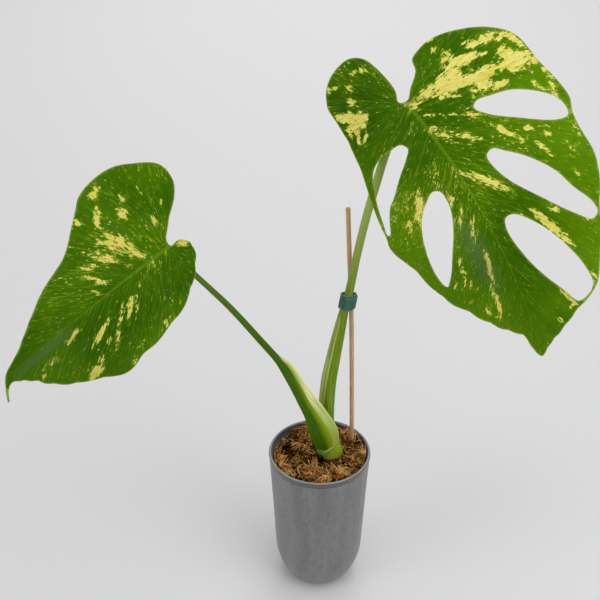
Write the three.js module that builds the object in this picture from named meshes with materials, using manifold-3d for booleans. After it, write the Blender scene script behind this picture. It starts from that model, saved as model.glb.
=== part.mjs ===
// A potted monstera cutting: two leaves on sheathed stalks, in moss, in a small ceramic pot.
// Millimetres, +Z up. The origin is the middle of the pot's flat base, and -Y is the front.
import * as THREE from 'three';
import { mergeVertices } from 'three/addons/utils/BufferGeometryUtils.js';
import Module from 'manifold-3d';

const wasm = await Module();
wasm.setup();

// Driving dimensions
const GAP = 0.3; // between pieces that touch
const POT_HEIGHT = 144.7;
const POT_BASE_RADIUS = 21;
const POT_WALL = 3.2;
const POT_FLOOR = 5;
const SHOULDER_HEIGHT = 39; // where the rounded foot meets the tapered side
const SHOULDER_RADIUS = 40.4;
const FOOT_SQUARENESS = 1.7; // 2 is an ellipse, and less is flatter
const BODY_TOP_HEIGHT = 139;
const BODY_TOP_RADIUS = 45.3;
const LIP_RADIUS = 2.6; // half the height of the rounded lip
const LIP_OVERHANG = 0.7; // how far the lip stands out past the side
const MOSS_LEVEL = 137.5;
const MOSS_LUMP = 1.6;
const ROOT_RADIUS = 1.6;
const ROOT_DEPTH = 62;
const STAKE_RADIUS = 2;
const TIE_HEIGHT = 10;
const TIE_THICKNESS = 1.1;
const TIE_LEVEL = 287.5;
const TIE_STALK = new THREE.Vector2(21.2, 21.1); // centres of the two ends of the loop
const TIE_STAKE = new THREE.Vector2(26, 27.3);
const TIE_BIG = 4.8; // inner radius round the stalk
const TIE_SMALL = 3.1; // and round the stake
const TIE_TILT = 0.12;
const BLADE_THICKNESS = 0.8;
const RIB_WIDTH = 2.2; // half width of the midrib where it has faded to a third
const RIB_DEPTH = 2.8; // how far the midrib stands out of the underside at its root
const RIB_START = 9;
const CREASE = 6; // how far from the midrib the fold of the blade is rounded
const EDGE_STEP = 4.6; // spacing of mesh points along a blade's edge
const GRID_STEP = 9.5; // and across its face
const SEAT_ALONG = 3.5; // where the stalk meets the underside, from the notch
const BEND_DIP = 2.5; // how far the stalk's last bend sags before it turns up to the blade
const WING_SHARPNESS = 8; // higher is a thinner wing along a sheathed stalk

// Each leaf has its notch at origin, its midrib leaving along `along`, and `across` and `up`
// at right angles to it. The blade is drawn flat, as [distance along the midrib, distance to
// the side], and then drooped, folded and waved by leafPoint.
const leftLeaf = {
  origin: [-119, -28, 371.7],
  along: [-0.6451, -0.7434, -0.1767],
  across: [-0.3634, 0.0951, 0.9268],
  up: [0.6721, -0.6621, 0.3315],
  length: 160,
  droop: 0.003, // radians per millimetre, towards the tip
  lobeDroop: 0.003, // and towards the lobes behind the notch
  swing: -0.00188, // sideways bend of the midrib
  fold: [-0.1, -0.1], // slope of the two halves at the midrib, across side first
  curl: [0.003, 0.0035], // how fast each half curls down
  wave: { height: 2.5, reach: 75, length: 80, phase: [0.5, 2.5] },
  outline: [
    [-2, 0], [-1, 6], [-10, 16], [-27, 31], [-33, 41], [-33, 51], [-29, 58], [-13, 68], [8, 76],
    [23, 76], [38, 71], [47, 63], [72, 43], [97, 34], [119, 22], [140, 10], [158, 2], [166, -6],
    [173, -17], [171, -18], [165, -10], [158, -7], [152, -12], [146, -19], [142, -27], [129, -43],
    [116, -53], [97, -66], [85, -71], [73, -70], [62, -66], [46, -66], [29, -63], [12, -57],
    [-4, -45], [-16, -32], [-22, -17], [-20, -7], [-11, 0],
  ],
  holes: [],
};

const rightLeaf = {
  origin: [61.4, -12, 482.2],
  along: [0.6194, -0.5245, -0.5841],
  across: [0.7339, 0.1226, 0.6681],
  up: [-0.2788, -0.8425, 0.4609],
  length: 225,
  droop: 0.0025,
  lobeDroop: 0.0005,
  swing: -0.00216,
  fold: [-0.1, -0.2],
  curl: [0.003, 0.005],
  wave: { height: 3, reach: 90, length: 95, phase: [0, 2] },
  outline: [
    [-3, 2], [-8, 9], [-15, 20], [-23, 24], [-25, 31], [-25, 44], [-17, 66], [-6, 82], [8, 93],
    [30, 95], [50, 98], [61, 98], [70, 94], [80, 93], [98, 93], [116, 87], [131, 79], [141, 75],
    [153, 70], [167, 63], [183, 54], [189, 45], [194, 36], [207, 19], [216, 8], [225, 0],
    [222, -3], [215, -6], [204, -9], [194, -25], [183, -38], [172, -49], [162, -60], [146, -69],
    [130, -75], [110, -81], [100, -85], [90, -87], [80, -85], [60, -81], [27, -72], [10, -64],
    [-12, -58], [-31, -53], [-50, -49], [-58, -39], [-61, -25], [-58, -9], [-49, -1], [-38, 1],
    [-15, 0], [-6, -4],
  ],
  holes: [
    [[37, 68], [31, 52], [28, 40], [31, 36], [40, 42], [54, 59], [68, 80], [70, 90], [65, 92], [55, 89]],
    [[126, 74], [111, 67], [96, 61], [78, 48], [67, 37], [61, 30], [63, 24], [82, 27], [111, 46],
      [129, 61], [136, 69], [133, 74]],
    [[178, 51], [165, 51], [147, 45], [132, 38], [118, 29], [108, 19], [108, 13], [117, 10],
      [141, 14], [161, 22], [178, 32], [186, 38], [184, 45]],
    [[64, -25], [69, -34], [77, -43], [90, -51], [111, -58], [138, -59], [147, -56], [140, -50],
      [119, -38], [94, -24], [79, -19], [67, -20]],
    [[19, -24], [17, -33], [16, -46], [21, -58], [32, -66], [47, -73], [66, -79], [78, -82],
      [79, -80], [68, -73], [56, -64], [50, -55], [40, -42], [31, -28], [25, -21]],
  ],
};

// Stations from foot to tip, each [x, y, z, half width, half depth, sheath wing].
const leftStalkStations = [
  [8.8, -3.5, 147.7, 10.2, 6.3, 0],
  [4.4, -3.5, 165, 10.8, 6, 0.4],
  [-6.8, -3.1, 188.6, 6.9, 5.2, 3.9],
  [-13.7, -2.5, 200.8, 5, 4.7, 4.8],
  [-19.2, -2, 212, 4.2, 4.3, 4.8],
  [-32.2, -0.6, 237.3, 3.3, 3.6, 3],
  [-37.2, -0.2, 245.5, 3.1, 3.4, 0.3],
  [-51.5, 0, 265.3, 2.9, 3.1, 0],
  [-75.9, 1, 297.4, 2.6, 2.7, 0],
  [-99.6, 2, 324, 2.4, 2.4, 0],
  [-113.4, -3, 343, 2.4, 2.4, 0],
];
const rightStalkStations = [
  [9, 8, 147, 5.2, 4.2, 0],
  [6.6, 9, 180, 5, 4.1, 1.6],
  [8.2, 11.5, 212, 4.4, 4, 2.6],
  [12.5, 14.8, 238, 4, 3.9, 2.6],
  [17, 18.4, 263, 3.8, 3.8, 1.4],
  [20.6, 21, 285, 3.7, 3.7, 0.2],
  [23.9, 21.3, 300, 3.6, 3.6, 0],
  [29.7, 19, 339, 3.4, 3.4, 0],
  [37, 15, 381, 3.4, 3.4, 0],
  [42, 11.5, 405, 3.4, 3.4, 0],
  [47.4, 6.3, 432, 3.4, 3.4, 0],
  [54, 0.5, 457, 3.3, 3.3, 0],
];
// The stem piece runs from its cut foot to the ring of its node.
const stemStations = [
  [12.2, 1.8, 131.8, 8.4, 9.6, 0],
  [11.4, 1.8, 135.2, 9.8, 10.6, 0],
  [10.1, 1.8, 141.2, 9.9, 10.6, 0],
  [9, 1.8, 145.9, 10.5, 11, 0],
];
const stakeStations = [
  [31.4, 19, 99],
  [29.9, 21.5, 146.5],
  [28.4, 24.4, 210],
  [26.2, 27.2, 283],
  [23.6, 28.8, 332],
  [21.5, 30, 375.2],
].map(([x, y, z]) => [x, y, z, STAKE_RADIUS, STAKE_RADIUS, 0]);
const STEM_ACROSS = [0.93, 0, 0.36]; // across the stem, which leans to the left
const LEFT_STALK_ACROSS = [0.88, 0.12, 0.46]; // the wing side
const RIGHT_STALK_ACROSS = [-0.95, -0.3, 0.15];

// Solids in and out of the boolean library
function toSolid(geometry) {
  const bare = geometry.clone();
  bare.deleteAttribute('normal');
  bare.deleteAttribute('uv');
  const merged = mergeVertices(bare, 1e-4);
  const vertProperties = Float32Array.from(merged.attributes.position.array);
  const triVerts = Uint32Array.from(merged.index.array);
  return new wasm.Manifold(new wasm.Mesh({ numProp: 3, vertProperties, triVerts }));
}

function fromSolid(solid) {
  const { vertProperties, triVerts } = solid.getMesh();
  const geometry = new THREE.BufferGeometry();
  geometry.setAttribute('position', new THREE.BufferAttribute(vertProperties, 3));
  geometry.setIndex(new THREE.BufferAttribute(triVerts, 1));
  return geometry;
}

function meshOf(points, triangles) {
  const geometry = new THREE.BufferGeometry().setFromPoints(points);
  geometry.setIndex(triangles);
  return geometry;
}

// A round-sectioned piece along a curve through its stations, closed by flat ends. Its wing
// pushes the across side out to a thin edge.
function limb(stations, across, { rings, sides, grow = 0 }) {
  const path = new THREE.CatmullRomCurve3(stations.map(([x, y, z]) => new THREE.Vector3(x, y, z)));
  const sizes = new THREE.CatmullRomCurve3(
    stations.map(([, , , width, depth, wing]) => new THREE.Vector3(width, depth, wing)),
    false,
    'catmullrom',
  );
  const points = [];
  const triangles = [];
  for (let ring = 0; ring <= rings; ring++) {
    const t = ring / rings;
    const centre = path.getPoint(t);
    const tangent = path.getTangent(t);
    const size = sizes.getPoint(t);
    const side = new THREE.Vector3(...across).projectOnPlane(tangent).normalize();
    const back = new THREE.Vector3().crossVectors(tangent, side);
    for (let i = 0; i < sides; i++) {
      const angle = (i / sides) * 2 * Math.PI;
      const edge = Math.max(0, Math.cos(angle)) ** WING_SHARPNESS * Math.max(0, size.z);
      points.push(
        centre.clone()
          .addScaledVector(side, (size.x + grow) * Math.cos(angle) + edge)
          .addScaledVector(back, (size.y + grow) * Math.sin(angle)),
      );
    }
    if (ring === 0) continue;
    for (let i = 0; i < sides; i++) {
      const j = (i + 1) % sides;
      const [low, high] = [(ring - 1) * sides, ring * sides];
      triangles.push(low + i, low + j, high + j, low + i, high + j, high + i);
    }
  }
  const last = rings * sides;
  const foot = points.push(path.getPoint(0)) - 1;
  const tip = points.push(path.getPoint(1)) - 1;
  for (let i = 0; i < sides; i++) {
    const j = (i + 1) % sides;
    triangles.push(foot, j, i, tip, last + i, last + j);
  }
  return meshOf(points, triangles);
}

// Where a point of the flat leaf lies in space: a drooping, sideways bent midrib carries two
// halves that fold down from it, curl and wave.
function leafPoint(leaf, along, aside) {
  const half = aside >= 0 ? 0 : 1;
  const out = Math.abs(aside);
  const droop = along >= 0 ? leaf.droop : leaf.lobeDroop;
  const swing = leaf.swing;
  const sine = (rate) => Math.sin(rate * along) / rate;
  const rise = (rate) => (1 - Math.cos(rate * along)) / rate;
  const T = new THREE.Vector3(...leaf.along);
  const B = new THREE.Vector3(...leaf.across);
  const N = new THREE.Vector3(...leaf.up);
  const midrib = new THREE.Vector3(...leaf.origin)
    .addScaledVector(T, (sine(droop + swing) + sine(droop - swing)) / 2)
    .addScaledVector(B, (rise(swing + droop) + rise(swing - droop)) / 2)
    .addScaledVector(N, -rise(droop));
  const turn = swing * along;
  const ahead = T.clone().multiplyScalar(Math.cos(turn)).addScaledVector(B, Math.sin(turn));
  const sideways = B.clone().multiplyScalar(Math.cos(turn)).addScaledVector(T, -Math.sin(turn));
  const tip = droop * along;
  const lift = N.clone().multiplyScalar(Math.cos(tip)).addScaledVector(ahead, Math.sin(tip));
  const slope = leaf.fold[half];
  const curl = leaf.curl[half];
  const spread = (Math.sin(slope) - Math.sin(slope - curl * out)) / curl;
  const drop = (Math.cos(slope - curl * out) - Math.cos(slope)) / curl;
  const rounding = Math.sin(slope) * (out - Math.hypot(out, CREASE) + CREASE);
  const { height, reach, length, phase } = leaf.wave;
  const wave = height * (out / reach) ** 2 * Math.sin((2 * Math.PI * along) / length + phase[half]);
  return midrib
    .addScaledVector(sideways, Math.sign(aside) * spread)
    .addScaledVector(lift, drop - rounding + wave);
}

function leafNormal(leaf, along, aside) {
  const step = 0.5;
  const ahead = leafPoint(leaf, along + step, aside).sub(leafPoint(leaf, along - step, aside));
  const beside = leafPoint(leaf, along, aside + step).sub(leafPoint(leaf, along, aside - step));
  const normal = ahead.cross(beside).normalize();
  return normal.dot(new THREE.Vector3(...leaf.up)) < 0 ? normal.negate() : normal;
}

// Thickness of the blade, with the midrib standing out below and fading towards the tip
function bladeDepth(leaf, along, aside) {
  if (along < RIB_START) return BLADE_THICKNESS;
  const fade = Math.max(0, 1 - along / leaf.length) ** 0.7;
  return BLADE_THICKNESS + RIB_DEPTH * fade * Math.exp(-((aside / RIB_WIDTH) ** 2));
}

// Delaunay triangles of flat points, added one at a time
function delaunay(points) {
  const far = 5000; // corners of a triangle round all the points
  const all = [...points, [-far, -far], [far, -far], [0, far]];
  const count = points.length;
  let triangles = [circled(all, count, count + 1, count + 2)];
  for (let p = 0; p < count; p++) {
    const [x, y] = all[p];
    const rim = new Map();
    const kept = [];
    for (const triangle of triangles) {
      if ((x - triangle.x) ** 2 + (y - triangle.y) ** 2 > triangle.square) {
        kept.push(triangle);
        continue;
      }
      const [i, j, k] = triangle.corners;
      for (const [from, to] of [[i, j], [j, k], [k, i]]) {
        if (!rim.delete(`${to},${from}`)) rim.set(`${from},${to}`, [from, to]);
      }
    }
    for (const [from, to] of rim.values()) kept.push(circled(all, from, to, p));
    triangles = kept;
  }
  return triangles.map(({ corners }) => corners).filter((corners) => Math.max(...corners) < count);
}

function circled(points, i, j, k) {
  const [ax, ay] = points[i];
  const [bx, by] = [points[j][0] - ax, points[j][1] - ay];
  const [cx, cy] = [points[k][0] - ax, points[k][1] - ay];
  const twice = 2 * (bx * cy - by * cx);
  const [b, c] = [bx * bx + by * by, cx * cx + cy * cy];
  const [x, y] = [(cy * b - by * c) / twice, (bx * c - cx * b) / twice];
  return { corners: [i, j, k], x: ax + x, y: ay + y, square: x * x + y * y };
}

function inside(loops, [x, y]) {
  let within = false;
  for (const loop of loops) {
    loop.forEach(([x1, y1], i) => {
      const [x2, y2] = loop[(i + 1) % loop.length];
      if (y1 > y !== y2 > y && x < x1 + ((y - y1) / (y2 - y1)) * (x2 - x1)) within = !within;
    });
  }
  return within;
}

function edgeDistance(loops, [x, y]) {
  return Math.min(...loops.flat().map(([px, py]) => Math.hypot(px - x, py - y)));
}

function smoothLoop(corners) {
  const curve = new THREE.CatmullRomCurve3(corners.map(([x, y]) => new THREE.Vector3(x, y, 0)), true);
  const steps = Math.round(curve.getLength() / EDGE_STEP);
  return curve.getSpacedPoints(steps).slice(0, steps).map(({ x, y }) => [x, y]);
}

// Points inside the flat leaf: columns along the midrib and a staggered grid beside them
function facePoints(leaf, loops) {
  const points = [];
  const columnStep = 6;
  const columns = [-2.1 * RIB_WIDTH, -RIB_WIDTH, 0, RIB_WIDTH, 2.1 * RIB_WIDTH];
  const besideColumns = 8.5;
  const rowStep = GRID_STEP * Math.sin(Math.PI / 3);
  const places = 12; // grid points to each side of the midrib
  for (let along = columnStep; along < leaf.length - columnStep; along += columnStep) {
    for (const aside of columns) points.push([along, aside, 0.8 * RIB_WIDTH]);
  }
  for (let row = -places; row * GRID_STEP < leaf.length + 2 * GRID_STEP; row++) {
    for (let place = -places; place <= places; place++) {
      const along = row * rowStep + 0.3 * Math.sin(row + 5 * place);
      const aside = (place + (row % 2 ? 0.5 : 0)) * GRID_STEP;
      if (Math.abs(aside) > besideColumns || along < 0) points.push([along, aside, 0.5 * GRID_STEP]);
    }
  }
  return points
    .filter(([x, y, clear]) => inside(loops, [x, y]) && edgeDistance(loops, [x, y]) > clear)
    .map(([x, y]) => [x, y]);
}

// A blade: flat triangles inside the outline and outside the holes, the same above and below,
// and a rim between them. Long edges are halved until the triangles follow every edge.
function blade(leaf) {
  const loops = [leaf.outline, ...leaf.holes].map(smoothLoop);
  const face = facePoints(leaf, loops);
  let flat;
  let triangles;
  let missing;
  do {
    flat = [...loops.flat(), ...face];
    triangles = delaunay(flat);
    const edges = new Set(triangles.flatMap(([i, j, k]) => [`${i},${j}`, `${j},${k}`, `${k},${i}`]));
    missing = 0;
    let first = 0;
    loops.forEach((loop, number) => {
      const split = [];
      loop.forEach((from, i) => {
        const next = (i + 1) % loop.length;
        const to = loop[next];
        split.push(from);
        const [a, b] = [first + i, first + next];
        if (edges.has(`${a},${b}`) || edges.has(`${b},${a}`)) return;
        split.push([(from[0] + to[0]) / 2, (from[1] + to[1]) / 2]);
        missing++;
      });
      first += loop.length;
      loops[number] = split;
    });
  } while (missing > 0);
  triangles = triangles.filter((corners) => {
    const centre = [0, 1].map((axis) => corners.reduce((sum, i) => sum + flat[i][axis], 0) / 3);
    return inside(loops, centre);
  });

  const frame = new THREE.Matrix3().set(...leaf.along, ...leaf.across, ...leaf.up);
  const mirrored = frame.determinant() < 0;
  const top = flat.map(([along, aside]) => leafPoint(leaf, along, aside));
  const bottom = flat.map(([along, aside], i) =>
    top[i].clone().addScaledVector(leafNormal(leaf, along, aside), -bladeDepth(leaf, along, aside)));
  const under = flat.length;
  const faces = [];
  const open = new Map();
  for (const [i, j, k] of triangles) {
    const [a, b, c] = mirrored ? [i, k, j] : [i, j, k];
    faces.push(a, b, c, under + a, under + c, under + b);
    for (const [from, to] of [[a, b], [b, c], [c, a]]) {
      if (!open.delete(`${to},${from}`)) open.set(`${from},${to}`, [from, to]);
    }
  }
  for (const [from, to] of open.values()) {
    faces.push(to, from, under + from, to, under + from, under + to);
  }
  return meshOf([...top, ...bottom], faces);
}

// The stalk ends square under its blade, after a short bend
function stalk(leaf, stations, across, rings) {
  const up = leafNormal(leaf, SEAT_ALONG, 0);
  const seat = leafPoint(leaf, SEAT_ALONG, 0);
  const [, , , width, depth] = stations.at(-1);
  const below = (distance) => seat.clone().addScaledVector(up, -BLADE_THICKNESS - GAP - distance);
  const bend = [below(9), below(4), below(0.1)].map(({ x, y, z }) => [x, y, z, width, depth, 0]);
  bend[0][2] -= BEND_DIP;
  return limb([...stations, ...bend], across, { rings, sides: 20 });
}

// The pot: a flat base, a rounded foot, a slightly widening side and a rounded lip
function footRadius(height) {
  const share = Math.min(1, Math.max(0, 1 - height / SHOULDER_HEIGHT));
  const bulge = (1 - share ** FOOT_SQUARENESS) ** (1 / FOOT_SQUARENESS);
  return POT_BASE_RADIUS + (SHOULDER_RADIUS - POT_BASE_RADIUS) * bulge;
}

function pot() {
  const at = (radius, height) => new THREE.Vector2(radius, height);
  const lipHeight = POT_HEIGHT - LIP_RADIUS;
  const lipMiddle = BODY_TOP_RADIUS + LIP_OVERHANG - LIP_RADIUS;
  const [lipFrom, lipTurn] = [-0.5, 2.42]; // start and sweep of the lip's round, in radians
  const lip = Array.from({ length: 9 }, (_, i) => {
    const turn = lipFrom + (i / 8) * lipTurn;
    return at(lipMiddle + LIP_RADIUS * Math.cos(turn), lipHeight + LIP_RADIUS * Math.sin(turn));
  });
  const footRings = 10;
  const footHeights = Array.from({ length: footRings }, (_, i) => SHOULDER_HEIGHT * (i / footRings) ** 2.2);
  const outside = footHeights.map((height) => at(footRadius(height), height));
  const inside = footHeights.map((height) => at(footRadius(height) - POT_WALL, height + POT_FLOOR));
  const profile = [
    at(0, 0),
    ...outside,
    at(SHOULDER_RADIUS, SHOULDER_HEIGHT),
    at(BODY_TOP_RADIUS, BODY_TOP_HEIGHT),
    ...lip,
    at(BODY_TOP_RADIUS - POT_WALL, lipHeight),
    at(SHOULDER_RADIUS - POT_WALL, SHOULDER_HEIGHT + POT_FLOOR),
    ...inside.reverse(),
    at(0, POT_FLOOR),
  ];
  return new THREE.LatheGeometry(profile, 56).rotateX(Math.PI / 2);
}

// Roots hang from the stem's cut foot and spread as they go down
function roots(grow) {
  const top = new THREE.Vector3(...stemStations[0]);
  return [0.6, 2.2, 3.7, 5.3].map((turn, number) => {
    const out = new THREE.Vector3(Math.cos(turn), Math.sin(turn), 0);
    const reaches = [3.5, 4.5, 8 + 2 * number, 11 + 2 * number, 10 + 3 * number];
    const length = ROOT_DEPTH * (1 - 0.1 * number);
    const depths = [-3, 0.25 * length, 0.5 * length, 0.75 * length, length + grow];
    const stations = reaches.map((reach, i) => {
      const { x, y, z } = top.clone().addScaledVector(out, reach);
      const radius = ROOT_RADIUS * (1 - 0.14 * i);
      return [x, y, z - depths[i], radius, radius, 0];
    });
    return limb(stations, [0.6, 0.8, 0], { rings: 8, sides: 8, grow });
  });
}

function stem(grow) {
  const stub = limb(stemStations, STEM_ACROSS, { rings: 8, sides: 24, grow });
  return roots(grow).reduce((body, root) => body.add(toSolid(root)), toSolid(stub));
}

// The moss fills the pot up to a lumpy top, with plain holes for the stem, roots and stake
function mossTop(x, y) {
  const broad = Math.sin(0.42 * x + 0.9) * Math.sin(0.37 * y + 0.4);
  const fine = 0.6 * Math.sin(0.71 * x - 0.53 * y);
  const slope = 0.05 * x - 0.035 * y;
  return MOSS_LEVEL + slope + MOSS_LUMP * (broad + fine);
}

function moss() {
  const [turns, rings, levels] = [44, 9, 7];
  const wall = (height) => {
    const rise = Math.max(0, height - SHOULDER_HEIGHT - POT_FLOOR) / (BODY_TOP_HEIGHT - SHOULDER_HEIGHT);
    const widening = (BODY_TOP_RADIUS - SHOULDER_RADIUS) * rise;
    return footRadius(height - POT_FLOOR - GAP) + widening - POT_WALL - 2 * GAP;
  };
  const points = [];
  const triangles = [];
  const ringAt = (radius, heightAt) => {
    for (let i = 0; i < turns; i++) {
      const angle = (i / turns) * 2 * Math.PI;
      const [x, y] = [radius * Math.cos(angle), radius * Math.sin(angle)];
      points.push(new THREE.Vector3(x, y, heightAt(x, y)));
    }
  };
  const bottom = POT_FLOOR + 2 * GAP;
  const sideHeight = MOSS_LEVEL - 9 - bottom; // the lumpy top's edge starts above the plain side
  for (let level = 0; level < levels; level++) {
    const height = bottom + (level / (levels - 1)) ** 1.6 * sideHeight;
    ringAt(wall(height), () => height);
  }
  for (let ring = rings; ring >= 1; ring--) {
    ringAt(((wall(MOSS_LEVEL) * ring) / rings), mossTop);
  }
  const rows = levels + rings;
  for (let row = 1; row < rows; row++) {
    for (let i = 0; i < turns; i++) {
      const j = (i + 1) % turns;
      const [low, high] = [(row - 1) * turns, row * turns];
      triangles.push(low + i, low + j, high + j, low + i, high + j, high + i);
    }
  }
  const base = points.push(new THREE.Vector3(0, 0, bottom)) - 1;
  const crown = points.push(new THREE.Vector3(0, 0, mossTop(0, 0))) - 1;
  const last = (rows - 1) * turns;
  for (let i = 0; i < turns; i++) {
    const j = (i + 1) % turns;
    triangles.push(base, j, i, crown, last + i, last + j);
  }
  const stakeHole = limb(stakeStations.slice(0, 3), [1, 0, 0], { rings: 6, sides: 12, grow: GAP });
  const body = toSolid(meshOf(points, triangles)).subtract(stem(GAP)).subtract(toSolid(stakeHole));
  return fromSolid(body);
}

// The tie: a soft strap round the stalk and the stake, its end lapped over on the outer side
function tie() {
  const apart = TIE_STAKE.clone().sub(TIE_STALK);
  const reach = Math.acos((TIE_BIG - TIE_SMALL) / apart.length());
  const loop = (extra) => new THREE.Path()
    .absarc(0, 0, TIE_BIG + extra, reach, 2 * Math.PI - reach, false)
    .absarc(apart.length(), 0, TIE_SMALL + extra, -reach, reach, false)
    .getPoints(10);
  const band = new THREE.Shape(loop(TIE_THICKNESS));
  band.holes.push(new THREE.Path(loop(0)));
  const lap = new THREE.Shape()
    .absarc(apart.length(), 0, TIE_SMALL + 2 * TIE_THICKNESS, -1.2, reach, false)
    .absarc(apart.length(), 0, TIE_SMALL + 0.5 * TIE_THICKNESS, reach, -1.2, true);
  const extrude = (shape, depth, curveSegments) =>
    new THREE.ExtrudeGeometry(shape, { depth, bevelEnabled: false, curveSegments });
  const lapEnd = extrude(lap, TIE_HEIGHT - 0.6, 8).translate(0, 0, 0.5);
  return fromSolid(toSolid(extrude(band, TIE_HEIGHT, 8)).add(toSolid(lapEnd)))
    .translate(0, 0, -TIE_HEIGHT / 2)
    .rotateZ(apart.angle())
    .rotateY(TIE_TILT)
    .translate(TIE_STALK.x, TIE_STALK.y, TIE_LEVEL);
}

function material(colour, roughness) {
  return new THREE.MeshStandardMaterial({ color: colour, roughness, metalness: 0 });
}

const plant = new THREE.Group();
const pieces = {
  pot: [pot(), material('#6f7072', 0.6)],
  moss: [moss(), material('#8a6236', 1)],
  stem: [fromSolid(stem(0)), material('#7f9a3a', 0.5)],
  stalk_left: [stalk(leftLeaf, leftStalkStations, LEFT_STALK_ACROSS, 52), material('#7a9c3c', 0.45)],
  stalk_right: [stalk(rightLeaf, rightStalkStations, RIGHT_STALK_ACROSS, 50), material('#7a9c3c', 0.45)],
  blade_left: [blade(leftLeaf), material('#4f7d12', 0.4)],
  blade_right: [blade(rightLeaf), material('#4f7d12', 0.4)],
  stake: [limb(stakeStations, [1, 0, 0], { rings: 14, sides: 12 }), material('#bb8f62', 0.7)],
  tie: [tie(), material('#3f756a', 0.9)],
};
for (const [name, [geometry, finish]] of Object.entries(pieces)) {
  const piece = new THREE.Mesh(geometry, finish);
  piece.name = name;
  plant.add(piece);
}

export default plant;
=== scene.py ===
# %% [markdown]
# # A potted monstera cutting
# Two blotched leaves stand on sheathed stalks in a small stoneware pot of moss. The packed
# model gives every piece its place. This lesson dresses it: the leaves get veins and
# cream marbling, the stalks their sheaths, the pot its glaze and the moss its strands.
# Lengths are typed in millimetres, because that is how a plant is measured, and turned into
# Blender's metres at the last moment.

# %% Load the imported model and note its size
import random
from functools import partialmethod
from math import acos, atan2, cos, dist, exp, hypot, pi, radians, sin

import bmesh
import bpy
from bmesh.types import BMEdge, BMFace, BMVert
from mathutils import Matrix, Vector, noise
from mathutils.geometry import delaunay_2d_cdt
from mathutils.kdtree import KDTree


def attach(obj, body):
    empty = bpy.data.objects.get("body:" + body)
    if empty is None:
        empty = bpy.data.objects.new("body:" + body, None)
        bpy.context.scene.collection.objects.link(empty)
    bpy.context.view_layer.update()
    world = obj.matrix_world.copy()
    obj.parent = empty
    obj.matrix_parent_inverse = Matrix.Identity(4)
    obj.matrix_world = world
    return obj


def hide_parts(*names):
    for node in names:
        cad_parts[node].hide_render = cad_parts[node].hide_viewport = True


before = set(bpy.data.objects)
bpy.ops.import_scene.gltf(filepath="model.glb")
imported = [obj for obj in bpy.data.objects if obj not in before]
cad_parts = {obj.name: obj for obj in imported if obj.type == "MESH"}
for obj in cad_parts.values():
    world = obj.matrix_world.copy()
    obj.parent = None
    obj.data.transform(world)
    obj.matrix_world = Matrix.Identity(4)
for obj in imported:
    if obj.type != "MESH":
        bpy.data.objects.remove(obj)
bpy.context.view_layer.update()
MM = 0.001
print("nodes:", ", ".join(sorted(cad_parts)))

# %% [markdown]
# ## Camera, floor and light
# The picture looks down on the plant from about 80 cm up with a long lens. A pale sheet of
# paper runs under the pot and fills the whole view, so the floor is one large plane. The
# light is a bright tent: a pale sky from all round, one broad lamp above, which gives the
# pot its faint shadow, and two weak ones at the sides. A last lamp is kept narrow and
# brightens only the far end of the paper.

# %% Set the camera
SENSOR_WIDTH = 36
LENS_PIXELS, VIEW_PIXELS = 1120, 600
CAMERA_PLACE = (-17.7, -781.6, 801.2)
LOOK_DOWN = 32.39


def show(name, data):
    made = bpy.data.objects.new(name, data)
    bpy.context.scene.collection.objects.link(made)
    return made


camera_data = bpy.data.cameras.new("camera")
camera_data.sensor_width = SENSOR_WIDTH
camera_data.lens = SENSOR_WIDTH * LENS_PIXELS / VIEW_PIXELS
camera = show("camera", camera_data)
camera.location = [c * MM for c in CAMERA_PLACE]
camera.rotation_euler = (radians(90 - LOOK_DOWN), 0, 0)
bpy.context.scene.camera = camera
print("camera lens:", round(camera_data.lens, 1), "mm")

# %% [markdown]
# ## A small language for materials
# A material is a graph of nodes. Written out by hand it is long and hard to read, so a
# `Wire` stands for one output of a node and understands + - * and /, and a `Finish` makes
# nodes from their type, settings and inputs. Most finishes are a first colour with others
# laid over it, which is what `coats` does.

# %% Wires and finishes
class Wire:
    """One output of a shader node. Arithmetic on it adds Math nodes."""

    def __init__(self, finish, socket):
        self.finish, self.socket = finish, socket

    def sum(self, kind, *values):
        sockets = dict(enumerate([self, *values]))
        return self.finish.node("Math", {"operation": kind}, sockets)

    def __rsub__(self, other):
        return (self * -1) + other

    __add__ = __radd__ = partialmethod(sum, "ADD")
    __sub__ = partialmethod(sum, "SUBTRACT")
    __mul__ = __rmul__ = partialmethod(sum, "MULTIPLY")
    __truediv__ = partialmethod(sum, "DIVIDE")
    __pow__ = partialmethod(sum, "POWER")


class Finish:
    """A material and the one method that adds a node to it."""

    def __init__(self, name, **surface):
        self.material = bpy.data.materials.new(name)
        self.material.use_nodes = True
        self.tree = self.material.node_tree
        self.shader = self.tree.nodes["Principled BSDF"]
        self.paint(**surface)

    def node(self, kind, settings=None, sockets=None, out=0):
        made = self.tree.nodes.new("ShaderNode" + kind)
        for name, value in (settings or {}).items():
            setattr(made, name, value)
        for place, value in (sockets or {}).items():
            self.feed(made.inputs[place], value)
        return Wire(self, made.outputs[out])

    def feed(self, socket, value):
        if isinstance(value, Wire):
            self.tree.links.new(value.socket, socket)
        else:
            socket.default_value = value

    def paint(self, **inputs):
        for socket, value in inputs.items():
            self.feed(self.shader.inputs[socket.replace("_", " ")], value)
        return self.material


def colour(red, green, blue):
    """A colour typed as it looks on screen, 0 to 255, turned into light."""
    steps = [channel / 255 for channel in (red, green, blue)]
    return (*(((s + 0.055) / 1.055) ** 2.4 if s > 0.04 else s / 12.92 for s in steps), 1)


print("made the material helpers")

# %% Everyday nodes by short names
def place_on(finish):
    return finish.node("TexCoord", out="Object")


def height_at(place):
    """Millimetres above the floor."""
    return place.finish.node("SeparateXYZ", {}, {0: place}, out=2) / MM


def reading(finish, name):
    """A number that the mesh carries on its vertices."""
    return finish.node("Attribute", {"attribute_name": name}, out="Fac")


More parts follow.
